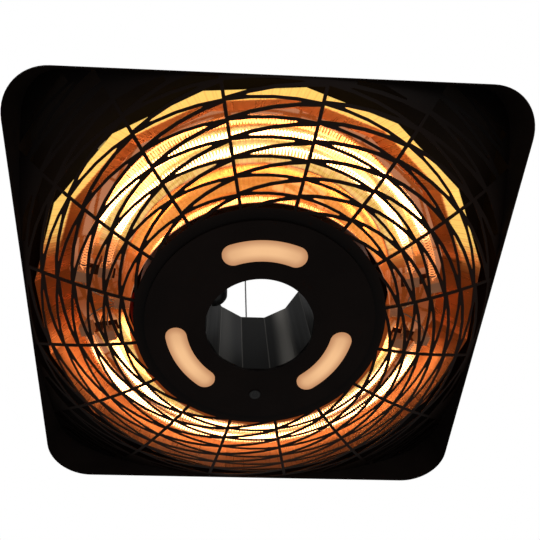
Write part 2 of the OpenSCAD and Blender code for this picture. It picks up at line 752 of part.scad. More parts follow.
// Outer edge of level bar k and inner edge of slanting bar k, at share t of the way from right to left
function level_bar(k, t) = (right_node(k) + wedge) * (1 - t) + (left_node(k) - wedge + bar_w) * t;
function slant_bar(k, t) = (right_node(k + 1) - wedge) * (1 - t) + (left_node(k) + wedge - slant_w) * t;
function slot_low(k, t, outer) = max(first_edge_r, outer ? slant_bar(k, t) + slant_w : level_bar(k, t));
function slot_high(k, t, outer) = outer ? level_bar(k + 1, t) - bar_w : slant_bar(k, t);
function slot_az(s, r, t) = let(g = asin(spoke_w / 2 / r))
    (s + 0.5) * sector + g + (1 - t) * (sector - 2 * g);
function slot_points(s, k, outer) = let(
    steps = [for (i = [0 : edge_points - 1]) let(t = tip_t * i / (edge_points - 1)) outer ? 1 - t : t],
    kept = [for (t = steps) let(r = slot_low(k, t, outer)) if (field_edge(slot_az(s, r, t)) - r > 1.5) t],
    tip = tip_t + 0.035,
    t1 = outer ? 1 - tip : tip,
    low = [for (t = kept) let(r = slot_low(k, t, outer)) polar(r, slot_az(s, r, t))],
    high = [for (i = [len(kept) - 1 : -1 : 0]) let(t = kept[i], r0 = slot_high(k, t, outer),
        r = min(r0, field_edge(slot_az(s, r0, t)))) polar(r, slot_az(s, r, t))],
    r1 = (slot_low(k, t1, outer) + slot_high(k, t1, outer)) / 2,
    point = len(kept) == edge_points ? [polar(r1, slot_az(s, r1, t1))] : [])
    len(kept) > 2 ? concat(low, point, high) : [];

module dish_shell() {
    rotate_extrude($fn = 360) intersection() {
        translate([dish_start_r, 0]) difference() {
            circle(dish_r, $fn = 360);
            circle(dish_r - plate_t, $fn = 360);
        }
        translate([hub_r, -dish_r - over]) square([hood_w * 0.75 - hub_r, dish_r]);
    }
}

module grille_plate() {
    tall = skirt_h - cover_t;
    color(paint) hung() difference() {
        intersection() {
            union() {
                translate([0, 0, dish_z]) dish_shell();
                translate([0, 0, hub_z]) ring(lamp_r + gap, hub_r + 0.5, plate_t);
            }
            translate([0, 0, -skirt_h]) leaning_block(sheet_half - gap + skirt_h * skirt_lean,
                hood_r - cover_t - gap + skirt_h * skirt_lean, 2 * tall, skirt_lean);
        }
        for (s = [0 : spokes - 1], k = [0 : rings - 1], outer = [false, true]) {
            points = slot_points(s, k, outer);
            if (len(points) > 0) translate([0, 0, -skirt_h]) linear_extrude(2 * skirt_h) polygon(points);
        }
    }
}

// Lamp disc

window_azimuths = [0, -120, 120];
window_lip = 2;
wall_t = 2;
// Width of the lamp disc's raised edge
edge_w = 4;
lamp_board_z = lamp_back_z + 9;

// Curved bar of width w with round ends, between z = 0 and h
module curved_bar(w, h) {
    rotate([0, 0, -90 - window_angle / 2]) rotate_extrude(angle = window_angle)
        translate([window_ring_r - w / 2, 0]) square([w, h]);
    for (side = [-0.5, 0.5]) around(side * window_angle, window_ring_r) cylinder(d = w, h = h);
}

module lamp_disc() {
    wall_h = lamp_board_z - lamp_back_z;
    color(paint) hung() difference() {
        union() {
            translate([0, 0, lamp_face_z]) ring(hole_r, lamp_r, lamp_t);
            translate([0, 0, lamp_face_z]) ring(lamp_r - edge_w, lamp_r, lamp_proud + lamp_t);
            translate([0, 0, hub_z + plate_t]) ring(lamp_r - edge_w, lamp_r + 5, lamp_t - plate_t);
            for (az = window_azimuths) around(az) translate([0, 0, lamp_back_z - over])
                curved_bar(window_w + 2 * (window_lip + gap + wall_t), wall_h + over);
            for (side = [-1, 1]) translate([side * switch_post_x, button_ring_r, lamp_back_z - over])
                cylinder(r = switch_post_r, h = switch_board_z - lamp_back_z + over);
        }
        for (az = window_azimuths) around(az) {
            translate([0, 0, lamp_face_z - over]) curved_bar(window_w + 2 * gap, lamp_t + 2 * over);
            translate([0, 0, lamp_back_z]) curved_bar(window_w + 2 * (window_lip + gap), wall_h + over);
        }
        translate([0, button_ring_r, lamp_face_z - over])
            cylinder(d = button_d + 2 * gap, h = lamp_t + 2 * over);
    }
}

module lamp_window(az) {
    color([1, 0.85, 0.65]) hung() around(az) {
        translate([0, 0, lamp_face_z - face_proud]) curved_bar(window_w, lamp_t + face_proud);
        translate([0, 0, lamp_back_z]) curved_bar(window_w + 2 * window_lip, 1.5);
    }
}

module lamp_window_near() {
    lamp_window(window_azimuths[0]);
}

module lamp_window_left() {
    lamp_window(window_azimuths[1]);
}

module lamp_window_right() {
    lamp_window(window_azimuths[2]);
}

module lamp_board(az) {
    chips = 9;
    color(board) hung() around(az) translate([0, 0, lamp_board_z]) {
        curved_bar(window_w + 2 * window_lip + wall_t, 1.6);
        for (i = [0 : chips - 1]) around(window_angle * (i / (chips - 1) - 0.5), window_ring_r)
            translate([-1.75, -1.75, -1]) cube([3.5, 3.5, 1.2]);
    }
}

module lamp_board_near() {
    lamp_board(window_azimuths[0]);
}

module lamp_board_left() {
    lamp_board(window_azimuths[1]);
}

module lamp_board_right() {
    lamp_board(window_azimuths[2]);
}

// Power button, in line with its hole at the far side of the hub

button_r = button_d / 2;
button_flange_t = 1.5;
button_stem_r = 3;
button_flange_z = lamp_back_z + gap;
button_stem_z = button_flange_z + button_flange_t + 4.5;
plunger_z = button_stem_z + button_travel + swing_gap;
switch_z = plunger_z + 1.7;
switch_h = 5;
switch_board_z = switch_z + switch_h;
switch_post_x = 13;
switch_post_r = 2;

module at_button() {
    hung() translate([0, button_ring_r, 0]) children();
}

module power_button() {
    color([0.08, 0.08, 0.08]) at_button() {
        translate([0, 0, lamp_face_z - face_proud]) cylinder(r = button_r, h = lamp_t + face_proud + gap);
        translate([0, 0, button_flange_z]) cylinder(r = button_r + 2, h = button_flange_t);
        translate([0, 0, button_flange_z]) cylinder(r = button_stem_r, h = button_stem_z - button_flange_z);
    }
}

module button_spring() {
    foot_z = button_flange_z + button_flange_t;
    color(steel) at_button() translate([0, 0, foot_z])
        ring(button_stem_r + 2 * gap, button_stem_r + 2 * gap + 1.2, switch_z - foot_z);
}

module switch_board() {
    half = button_r;
    color(board) at_button() {
        translate([-half, -half, switch_z]) cube([2 * half, 2 * half, switch_h]);
        translate([0, 0, plunger_z]) cylinder(r = 1.5, h = switch_z - plunger_z + over);
        translate([-switch_post_x - 3, -half - 3, switch_board_z])
            cube([2 * (switch_post_x + 3), 2 * (half + 3), 1.6]);
    }
}

// Inner frame and electronics

module support_posts() {
    color("silver") hung() for (az = post_azimuths) around(az, post_ring_r) difference() {
        union() {
            translate([0, 0, lamp_back_z]) cylinder(d = post_d + 2, h = chassis_z - chassis_t - lamp_back_z);
            translate([0, 0, chassis_z - chassis_t])
                cylinder(d = post_d, h = top_z - cover_t - chassis_z + chassis_t);
        }
        translate([0, 0, top_z - cover_t - 12]) cylinder(d = cover_screw_d + gap / 4, h = 14);
    }
}

module chassis_plate() {
    color("lightgray") hung() translate([0, 0, chassis_z - chassis_t]) difference() {
        ring(corner_r(tube_foot_r + tube_t) + 1.5, inner_foot_r - 5, chassis_t);
        for (az = post_azimuths) around(az, post_ring_r) translate([0, 0, -over])
            cylinder(d = post_d + gap, h = chassis_t + 2 * over);
    }
}

box_l = 70;
box_w = 40;
box_h = 28;
box_t = 2;
// Middle of the control box, from the inner reflector's foot inwards
box_y = 38 - inner_foot_r;
driver_l = 60;
driver_w = 28;
driver_h = 22;
driver_y = inner_foot_r - 24 - driver_w;
terminal_l = 18;
terminal_h = 14;
terminal_x = inner_foot_r - 30 - terminal_l;
cutout_r = 7;
cutout_x = inner_foot_r - 40;
tilt_l = 16;
tilt_w = 22;
tilt_h = 18;
tilt_x = inner_foot_r - 32;

module control_box() {
    color([0.2, 0.2, 0.22]) hung() translate([0, box_y, chassis_z]) difference() {
        translate([-box_l / 2, -box_w / 2, 0]) cube([box_l, box_w, box_h]);
        translate([box_t - box_l / 2, box_t - box_w / 2, box_t])
            cube([box_l - 2 * box_t, box_w - 2 * box_t, box_h - 2 * box_t]);
    }
}

module control_board() {
    length = box_l - 2 * box_t - 2;
    width = box_w - 2 * box_t - 2;
    color(board) hung() translate([0, box_y, chassis_z + box_t]) {
        translate([-length / 2, -width / 2, 4]) cube([length, width, 1.6]);
        for (x = [-1, 1], y = [-1, 1]) translate([x * (length / 2 - 4), y * (width / 2 - 4), 0])
            cylinder(r = 2, h = 4 + over);
        translate([-22, -8, 4]) cube([14, 16, 12]);
        translate([2, -10, 4]) cube([18, 8, 8]);
        translate([12, 8, 4]) cylinder(r = 5, h = 15);
    }
}

module lamp_driver() {
    color("white") hung() translate([-driver_l / 2, driver_y, chassis_z])
        cube([driver_l, driver_w, driver_h]);
}

module terminal_block() {
    ways = 4;
    way_w = 10;
    color("ivory") hung() translate([terminal_x, -ways * way_w / 2, chassis_z]) difference() {
        cube([terminal_l, ways * way_w, terminal_h]);
        for (i = [0 : ways - 1]) translate([terminal_l / 2, (i + 0.5) * way_w, 6])
            cylinder(r = 2.5, h = terminal_h);
    }
}

module thermal_cutout() {
    color("silver") hung() translate([-cutout_x, 0, chassis_z]) {
        cylinder(r = cutout_r + 2, h = 4);
        cylinder(r = cutout_r, h = 10);
    }
}

module tilt_switch() {
    color("black") hung() translate([-tilt_x, tilt_l - 2, chassis_z]) cube([tilt_l, tilt_w, tilt_h]);
}

// Insulated wires from the bushes round the far side and up to the terminal block and the cut-out
module wiring() {
    wire_r = 2;
    bend_r = bush_face_r - bush_l - 2 * wire_r;
    rise = chassis_z + 7 - element_z;
    color("firebrick") hung() translate([0, 0, element_z]) {
        bent_bar(bend_r, wire_r, 90, 180);
        for (end = [[90, terminal_x + terminal_l], [-90, cutout_x + cutout_r + swing_gap]]) {
            around(end[0], bush_face_r - bush_l) rotate([-90, 0, 0]) cylinder(r = wire_r, h = 2 * wire_r);
            around(end[0], bend_r) {
                sphere(wire_r);
                cylinder(r = wire_r, h = rise);
                translate([0, 0, rise]) sphere(wire_r);
                translate([0, 0, rise]) rotate([-90, 0, 0]) cylinder(r = wire_r, h = bend_r - end[1]);
            }
        }
    }
}

ceiling_plate();
ceiling_eye();
snap_hook();
hook_gate();
gate_pin();
gate_spring();
hanging_ring();
suspension_rope_near();
suspension_rope_right();
suspension_rope_far();
suspension_rope_left();
rope_ferrules();
eye_bolts();
eye_nuts();
top_cover();
cover_screws();
cable_gland();
tube_collar();
through_tube();
reflector_outer();
reflector_roof();
reflector_inner();
reflector_brackets();
insulation_ring();
quartz_tube(outer_near);  // quartz_tube_outer_near
quartz_tube(outer_far);  // quartz_tube_outer_far
quartz_tube(inner_near);  // quartz_tube_inner_near
quartz_tube(inner_far);  // quartz_tube_inner_far
filament(outer_near);  // filament_outer_near
filament(outer_far);  // filament_outer_far
filament(inner_near);  // filament_inner_near
filament(inner_far);  // filament_inner_far
tube_end_caps();
tube_brackets();
tube_leads();
lead_bushes();
grille_plate();
lamp_disc();
lamp_window_near();
lamp_window_left();
lamp_window_right();
lamp_board_near();
lamp_board_left();
lamp_board_right();
power_button();
button_spring();
switch_board();
support_posts();
chassis_plate();
control_box();
control_board();
lamp_driver();
terminal_block();
thermal_cutout();
tilt_switch();
wiring();
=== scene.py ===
"""Glowing elements, finishes, ropes, light and camera for a hanging electric patio heater.

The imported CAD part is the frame. Lengths are in metres, and the origin is the middle of the
ceiling plate's upper face. Angles round the hood are 0 at the near side (-Y) and +90 degrees at
the right (+X).
"""

import math

import bpy
import numpy as np
from bpy.props import FloatProperty, FloatVectorProperty, IntProperty, PointerProperty
from bpy.types import Operator, Panel, PropertyGroup
from mathutils import Matrix, Vector


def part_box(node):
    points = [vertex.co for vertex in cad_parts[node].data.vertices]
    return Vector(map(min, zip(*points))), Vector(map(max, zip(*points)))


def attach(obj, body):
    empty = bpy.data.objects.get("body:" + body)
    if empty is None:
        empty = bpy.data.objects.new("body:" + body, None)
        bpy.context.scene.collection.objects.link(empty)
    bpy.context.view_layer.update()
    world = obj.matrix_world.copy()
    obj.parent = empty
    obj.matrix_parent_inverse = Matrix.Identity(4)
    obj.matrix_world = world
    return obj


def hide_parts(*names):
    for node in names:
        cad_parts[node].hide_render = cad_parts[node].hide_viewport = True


bl_info = {
    "name": "Hanging patio heater",
    "version": (1, 0, 0),
    "blender": (4, 5, 0),
    "location": "3D View > Sidebar > Heater",
    "description": "Builds the elements, ropes, finishes, light and camera of a hanging heater",
    "category": "Object",
}

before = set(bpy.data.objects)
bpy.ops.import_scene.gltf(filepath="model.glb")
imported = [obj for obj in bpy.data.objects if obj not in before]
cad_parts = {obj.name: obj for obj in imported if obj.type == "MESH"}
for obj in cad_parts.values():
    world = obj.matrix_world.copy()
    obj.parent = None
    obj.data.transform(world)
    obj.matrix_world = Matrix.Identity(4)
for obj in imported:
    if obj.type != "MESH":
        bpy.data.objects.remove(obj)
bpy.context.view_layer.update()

HOOD = "heater"
RIM_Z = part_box("top_cover")[0].z
ELEMENT_Z = (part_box("tube_end_caps")[0].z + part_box("tube_end_caps")[1].z) / 2
BUTTON_LOW, BUTTON_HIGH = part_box("power_button")


# Meshes


def steady_sides(points, along):
    """A side direction at each point of a line, which turns as little as it can along the way."""
    side = np.empty_like(points)
    trial = np.cross(along[0], (0.0, 0.0, 1.0))
    if np.linalg.norm(trial) < 0.1:
        trial = np.cross(along[0], (1.0, 0.0, 0.0))
    for i, way in enumerate(along):
        trial = trial - way * trial.dot(way)
        trial /= np.linalg.norm(trial)
        side[i] = trial
    return side


def directions(points):
    """Unit vector along a line of points, at each of them."""
    along = np.gradient(points, axis=0)
    return along / np.linalg.norm(along, axis=1)[:, None]


def distances(points):
    """Distance along a line of points, at each of them."""
    steps = np.linalg.norm(np.diff(points, axis=0), axis=1)
    return np.concatenate([[0], np.cumsum(steps)])


def bar_mesh(points, radius, sides):
    """Vertices and faces of a round bar with closed ends along a line of points."""
    points = np.asarray(points, float)
    along = directions(points)
    side = steady_sides(points, along)
    up = np.cross(along, side)
    turn = np.linspace(0, 2 * math.pi, sides, endpoint=False)
    rings = points[:, None] + radius * (
        np.cos(turn)[None, :, None] * side[:, None] + np.sin(turn)[None, :, None] * up[:, None]
    )
    first = np.arange(len(points) - 1)[:, None] * sides
    here, there = np.arange(sides)[None], (np.arange(sides)[None] + 1) % sides
    quads = np.stack(
        [first + here, first + there, first + sides + there, first + sides + here], axis=-1
    ).reshape(-1, 4)
    last = (len(points) - 1) * sides
    faces = [tuple(q) for q in quads.tolist()]
    faces += [tuple(range(sides - 1, -1, -1)), tuple(range(last, last + sides))]
    return rings.reshape(-1, 3), faces


def make_piece(name, parts, body):
    """One smooth object made of several (vertices, faces) parts, riding on a CAD body."""
    vertices, faces = [], []
    for points, polygons in parts:
        start = len(vertices)
        vertices += [tuple(p) for p in np.asarray(points, float).tolist()]
        faces += [tuple(start + i for i in polygon) for polygon in polygons]
    mesh = bpy.data.meshes.new(name)
    mesh.from_pydata(vertices, [], faces)
    mesh.validate()
    mesh.polygons.foreach_set("use_smooth", [True] * len(mesh.polygons))
    mesh.update()
    piece = bpy.data.objects.new(name, mesh)
    bpy.context.scene.collection.objects.link(piece)
    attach(piece, body)
    return piece


def coil_points(middle, radius, pitch, steps):
    """Points of a helix wound round a line of points, with so many steps a turn."""
    middle = np.asarray(middle, float)
    lengths = distances(middle)
    turns = lengths[-1] / pitch
    spots = np.linspace(0, lengths[-1], int(turns * steps) + 1)
    line = np.stack([np.interp(spots, lengths, middle[:, i]) for i in range(3)], axis=1)
    along = directions(line)
    side = steady_sides(line, along)
    up = np.cross(along, side)
    turn = 2 * math.pi * spots / pitch
    return line + radius * (np.cos(turn)[:, None] * side + np.sin(turn)[:, None] * up)


def arc_points(radius, offset, half_angle, towards, height, count):
    """Points of an element's centreline. towards is -1 in the near half and 1 in the far half."""
    turn = np.linspace(-half_angle, half_angle, count)
    return np.stack(
        [
            -towards * radius * np.sin(turn),
            towards * (radius * np.cos(turn) + offset),
            np.full(count, height),
        ],
        axis=1,
    )


# Shader trees


class Signal:
    """An output socket of a shader tree. Shader maths is written as Python expressions on it."""

    def __init__(self, look, socket):
        self.look = look
        self.socket = socket

    def maths(self, operation, *values):
        return self.look.node("Math", {"operation": operation}, dict(enumerate(values)))

    def __add__(self, other):
        return self.maths("ADD", self, other)

    __radd__ = __add__

    def __sub__(self, other):
        return self.maths("SUBTRACT", self, other)

    def __rsub__(self, other):
        return self.maths("SUBTRACT", other, self)

    def __mul__(self, other):
        return self.maths("MULTIPLY", self, other)

    __rmul__ = __mul__

    def __abs__(self):
        return self.maths("ABSOLUTE", self)

    def root(self):
        return self.maths("SQRT", self)

    def sine(self):
        return self.maths("SINE", self)

    def most(self, other):
        return self.maths("MAXIMUM", self, other)

    def angle_from(self, other):
        """Angle in radians of a direction with self across and other ahead."""
        return self.maths("ARCTAN2", self, other)

    def between(self, start, end, low=0.0, high=1.0):
        """low at start, high at end and a smooth change from one to the other."""
        return self.look.node(
            "MapRange",
            {"interpolation_type": "SMOOTHSTEP"},
            {"Value": self, "From Min": start, "From Max": end, "To Min": low, "To Max": high},
        )


class Look:
    """A finish: a material with one main shader, and the nodes that vary it over the surface."""

    def __init__(self, name, **constants):
        self.material = bpy.data.materials.new(name)
        self.material.use_nodes = True
        self.tree = self.material.node_tree
        self.tree.nodes.clear()
        self.shader = self.tree.nodes.new("ShaderNodeBsdfPrincipled")
        end = self.tree.nodes.new("ShaderNodeOutputMaterial")
        self.tree.links.new(self.shader.outputs["BSDF"], end.inputs["Surface"])
        self.place = self.node("TexCoord", out="Object")
        self.set(**constants)

    def feed(self, socket, value):
        if isinstance(value, Signal):
            self.tree.links.new(value.socket, socket)
        elif socket.type == "RGBA":
            socket.default_value = (*value[:3], 1.0)
        else:
            socket.default_value = value

    def node(self, kind, settings=None, inputs=None, out=0):
        """A new node, given its settings first and then the values or links of its sockets."""
        made = self.tree.nodes.new("ShaderNode" + kind)
        for name, value in (settings or {}).items():
            setattr(made, name, value)
        for name, value in (inputs or {}).items():
            self.feed(made.inputs[name], value)
        return Signal(self, made.outputs[out])

    def set(self, **values):
        """Sets the main shader's sockets. An underscore in a name stands for a space."""
        for name, value in values.items():
            self.feed(self.shader.inputs[name.replace("_", " ")], value)
        return self

    def xyz(self):
        """The three coordinates, with the height measured from the hood's rim."""
        parts = self.node("SeparateXYZ", inputs={"Vector": self.place})
        x, y, z = (Signal(self, parts.socket.node.outputs[i]) for i in range(3))
        return x, y, z - RIM_Z

    def round_hood(self):
        """Distance from the hood's axis, angle round it in radians, and height above the rim."""
        x, y, z = self.xyz()
        return (x * x + y * y).root(), x.angle_from(-1 * y), z

    def point(self, x, y, z):
        return self.node("CombineXYZ", inputs={"X": x, "Y": y, "Z": z})

    def noise(
        self, scale, detail=3.0, roughness=0.5, stretch=(1, 1, 1), start=None, distortion=0.0
    ):
        """Noise from 0 to 1, with so many features to the metre before it is stretched."""
        place = self.node(
            "VectorMath", {"operation": "MULTIPLY"}, {0: start or self.place, 1: stretch}
        )
        return self.node(
            "TexNoise",
            inputs={
                "Vector": place,
                "Scale": scale,
                "Detail": detail,
                "Roughness": roughness,
                "Distortion": distortion,
            },
        )

    def cells(self, scale, feature="F1", randomness=1.0):
        """Distances in a pattern of cells, with so many cells to the metre."""
        return self.node(
            "TexVoronoi",
            {"feature": feature},
            {"Vector": self.place, "Scale": scale, "Randomness": randomness},
        )

    def mix(self, factor, a, b):
        """The colour a where factor is 0, going to b where it is 1."""
        return self.node("Mix", {"data_type": "RGBA"}, {0: factor, 6: a, 7: b}, out=2)

    def bump(self, height, strength, distance):
        """Raises the surface by a height from 0 to 1. distance is how far a height of 1 goes."""
        normal = self.node(
            "Bump", inputs={"Strength": strength, "Distance": distance, "Height": height}
        )
        return self.set(Normal=normal)


def shaded(colour, *shares):
    """A colour multiplied by one share, or by a share for each of its three parts."""
    return tuple(c * s for c, s in zip(colour, shares if len(shares) == 3 else shares * 3))


def finish(look, *pieces):
    """Gives a finish to pieces, or to CAD nodes by name."""
    for piece in pieces:
        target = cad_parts[piece] if isinstance(piece, str) else piece
        if target.material_slots:
            for slot in target.material_slots:
                slot.material = look.material
        else:
            target.data.materials.append(look.material)


# Finishes


def powder_coat(name, colour, roughness, peel=0.35):
    """Black powder coat: fine orange peel, faint smears and a few lighter specks."""
    look = Look(name, IOR=1.45, Specular_IOR_Level=0.1)
    smear = look.noise(9, 5, 0.6)
    speck = look.noise(900, 2, 0.5).between(0.66, 0.76)
    shade = look.mix(smear.between(0.35, 0.7), colour, shaded(colour, 1.6))
    look.set(
        Base_Color=look.mix(speck * 0.3, shade, (0.03, 0.028, 0.026)),
        Roughness=smear.between(0.3, 0.75, roughness - 0.05, roughness + 0.08),
    )
    return look.bump(look.noise(650, 3, 0.55), peel, 0.0002)


def zinc_steel(name, colour=(0.56, 0.56, 0.55), roughness=0.32):
    """Zinc-plated steel with crystal patches, fine scratches and darker stains."""
    look = Look(name, Metallic=1.0)
    patch = look.cells(160)
    stain = look.noise(35, 5, 0.65)
    scratch = look.noise(500, 2, 0.5, stretch=(1, 1, 0.05))
    base = look.mix(patch, colour, shaded(colour, 0.8))
    stained = shaded(colour, 0.45)
    look.set(
        Base_Color=look.mix(stain.between(0.5, 0.8, 0.0, 0.6), base, stained),
        Roughness=stain.between(0.3, 0.75, roughness - 0.1, roughness + 0.14),
    )
    return look.bump(scratch, 0.25, 0.0001)


def moulded_plastic(name, colour, roughness=0.45):
    """Moulded plastic with a spark-eroded grain and faint flow marks."""
    look = Look(name, IOR=1.49)
    flow = look.noise(40, 4, 0.6, distortion=1.5)
    look.set(
        Base_Color=look.mix(flow.between(0.35, 0.7), colour, shaded(colour, 0.75)),
        Roughness=flow.between(0.3, 0.7, roughness - 0.08, roughness + 0.1),
    )
    return look.bump(look.cells(1400), 0.2, 0.0001)


def circuit_board(name):
    """Green lacquered board with copper tracks, pads and pale printed blocks."""
    look = Look(name, Roughness=0.35, Coat_Weight=0.3)
    tracks = look.cells(260, feature="DISTANCE_TO_EDGE", randomness=0.35).between(0.04, 0.1)
    pads = look.cells(420, randomness=0.2).between(0.12, 0.2)
    green = look.mix(look.noise(60), (0.01, 0.07, 0.03), (0.02, 0.12, 0.05))
    tracked = look.mix(tracks, (0.05, 0.2, 0.08), green)
    look.set(Base_Color=look.mix(pads, (0.6, 0.5, 0.3), tracked))
    return look.bump(tracks, 0.3, 0.0001)


# Sizes, colours and settings that a user would change


def length(name, text, default, low, high):
    return FloatProperty(
        name=name,
        description=text,
        default=default,
        min=low,
        max=high,
        subtype="DISTANCE",
        unit="LENGTH",
    )


def tint(name, text, default):
    return FloatVectorProperty(
        name=name, description=text, default=default, size=3, min=0.0, max=1.0, subtype="COLOR"
    )


def amount(name, text, default, low, high):
    return FloatProperty(name=name, description=text, default=default, min=low, max=high)


class HeaterElementSettings(PropertyGroup):
    coil_radius: length(
        "Coil radius", "Centreline radius of an element's winding", 0.0037, 0.003, 0.004
    )
    coil_pitch: length(
        "Coil pitch", "Distance between two turns of the winding", 0.0033, 0.002, 0.005
    )
    wire_radius: length("Wire radius", "Radius of the heating wire", 0.00055, 0.0003, 0.0008)
    coil_steps: IntProperty(
        name="Steps a turn",
        description="Points on one turn of the winding",
        default=10,
        min=8,
        max=24,
    )
    glow: tint("Glow", "Colour of the light from the heating wire", (1.0, 0.5, 0.2))
    glow_strength: amount("Glow strength", "Brightness of the heating wire", 13.0, 1.0, 40.0)


class HeaterFinishSettings(PropertyGroup):
    paint: tint("Paint", "Colour of the powder coat", (0.009, 0.0062, 0.0055))
    hub: tint("Hub", "Colour of the lamp disc", (0.006, 0.0034, 0.0027))
    gold: tint("Reflector", "Colour of the gold-coloured reflector", (0.72, 0.44, 0.27))
    wall: tint("Reflector wall", "Colour of the reflector's outer wall", (0.215, 0.105, 0.056))
    # The reflector glow and ribbon are painted light: an even glow of the elements' light, and
    # bright bands that are painted reflections of the elements
    glow: tint("Reflector glow", "Colour of the reflector's even glow", (0.26, 0.052, 0.009))
    painted_ribbon: tint("Ribbon", "Colour of the brightest bands on the reflector", (0.9, 0.6, 0.14))
    window: tint("Lamp", "Colour in the middle of a lit lamp window", (0.9, 0.52, 0.255))
    window_rim: tint("Lamp edge", "Colour at the edge of a lit lamp window", (0.46, 0.2, 0.085))
    mark: tint("Button mark", "Colour of the mark on the power button", (0.03, 0.028, 0.027))


class HeaterRopeSettings(PropertyGroup):
    strands: IntProperty(
        name="Strands", description="Strands laid round a rope", default=6, min=5, max=8
    )
    lay: length("Lay", "Length of rope in which a strand goes once round", 0.016, 0.008, 0.03)


class HeaterStageSettings(PropertyGroup):
    floor_drop: length("Floor", "Depth of the floor under the ceiling", 2.4, 2.0, 3.0)
    backdrop: amount("Backdrop", "Brightness of the studio behind the heater", 1.0, 0.5, 1.5)
    room_light: amount(
        "Room light", "Brightness of the light that comes from all round", 0.22, 0.0, 2.0
    )
    soft_light: FloatProperty(
        name="Soft light",
        description="Power of the large lamps",
        default=8.0,
        min=0.0,
        subtype="POWER",
    )
    lens: FloatProperty(
        name="Lens",
        description="Focal length of the camera",
        default=38.43,
        min=20.0,
        unit="CAMERA",
    )


# Pieces


class HEATER_OT_elements(Operator):
    """Winds the four heating coils and gives the quartz tubes their glass"""

    bl_idname = "heater.elements"
    bl_label = "Elements"

    # Name, radius of the arc, and how far its middle lies from the hood's axis
    rings = (("outer", 0.194, 0.0), ("inner", 0.168, 0.0107))
    # Half an arc's sweep, and the straight wire at each end of a winding
    half_angle = math.radians(78)
    tail = 0.0045
    tail_radius = 0.0007
    # Points along an arc, and sides of the wound wire and of its straight ends
    arc_steps = 400
    wire_sides = 5
    tail_sides = 8
    # Angles over which the wire cools, at the near half's end and the far half's end
    near_cooling = (0.98, 1.12)
    far_cooling = (1.84, 1.98)

    def execute(self, context):
        settings = context.scene.heater_elements
        winding = (settings.coil_radius, settings.coil_pitch, settings.coil_steps)
        hot_wire, quartz = self.hot_wire(settings), self.quartz()
        for ring, radius, offset in self.rings:
            wound_angle = self.half_angle - self.tail / radius
            for half, towards in (("near", -1), ("far", 1)):
                arc = (radius, offset, wound_angle, towards, ELEMENT_Z, self.arc_steps)
                wire = coil_points(arc_points(*arc), *winding)
                ends = arc_points(radius, offset, self.half_angle, towards, ELEMENT_Z, 3)
                parts = [bar_mesh(wire, settings.wire_radius, self.wire_sides)]
                for first, last in ((wire[0], ends[0]), (wire[-1], ends[2])):
                    tail = [first, (first + last) / 2, last]
                    parts.append(bar_mesh(tail, self.tail_radius, self.tail_sides))
                coil = make_piece(f"coil_{ring}_{half}", parts, HOOD)
                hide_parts(f"filament_{ring}_{half}")
                finish(hot_wire, coil)
                finish(quartz, f"quartz_tube_{ring}_{half}")
        return {"FINISHED"}

    def hot_wire(self, settings):
        """Glowing wire that is cooler near the ends of its tubes."""
        look = Look("Hot wire", Roughness=0.6, Emission_Strength=settings.glow_strength)
        glow = tuple(settings.glow)
        cooler = shaded(glow, 0.85, 0.7, 0.6)
        cold = shaded(glow, 0.1, 0.06, 0.04)
        uneven = look.noise(60, 3, 0.6)
        _, angle, _ = look.round_hood()
        near = abs(angle).between(*self.near_cooling, 1.0, 0.0)
        element_light = near + abs(angle).between(*self.far_cooling)
        hot = look.mix(uneven.between(0.35, 0.7), glow, cooler)
        return look.set(
            Base_Color=look.mix(uneven, (0.1, 0.05, 0.03), (0.16, 0.08, 0.05)),
            Emission_Color=look.mix(element_light, cold, hot),
        )

    def quartz(self):
        """Clear glass, a little hazy, with denser edges."""
        look = Look("Quartz", Roughness=0.04, IOR=1.46)
        haze = look.noise(120, 4, 0.6).between(0.45, 0.75)
        edge = look.node("LayerWeight", inputs={"Blend": 0.35}, out="Facing")
        look.set(
            Base_Color=look.mix(haze, (0.9, 0.85, 0.75), (0.95, 0.92, 0.85)),
            Alpha=(haze * 0.05 + edge * edge * 0.35) + 0.03,
        )
        return look.bump(look.noise(300, 2), 0.05, 0.0002)


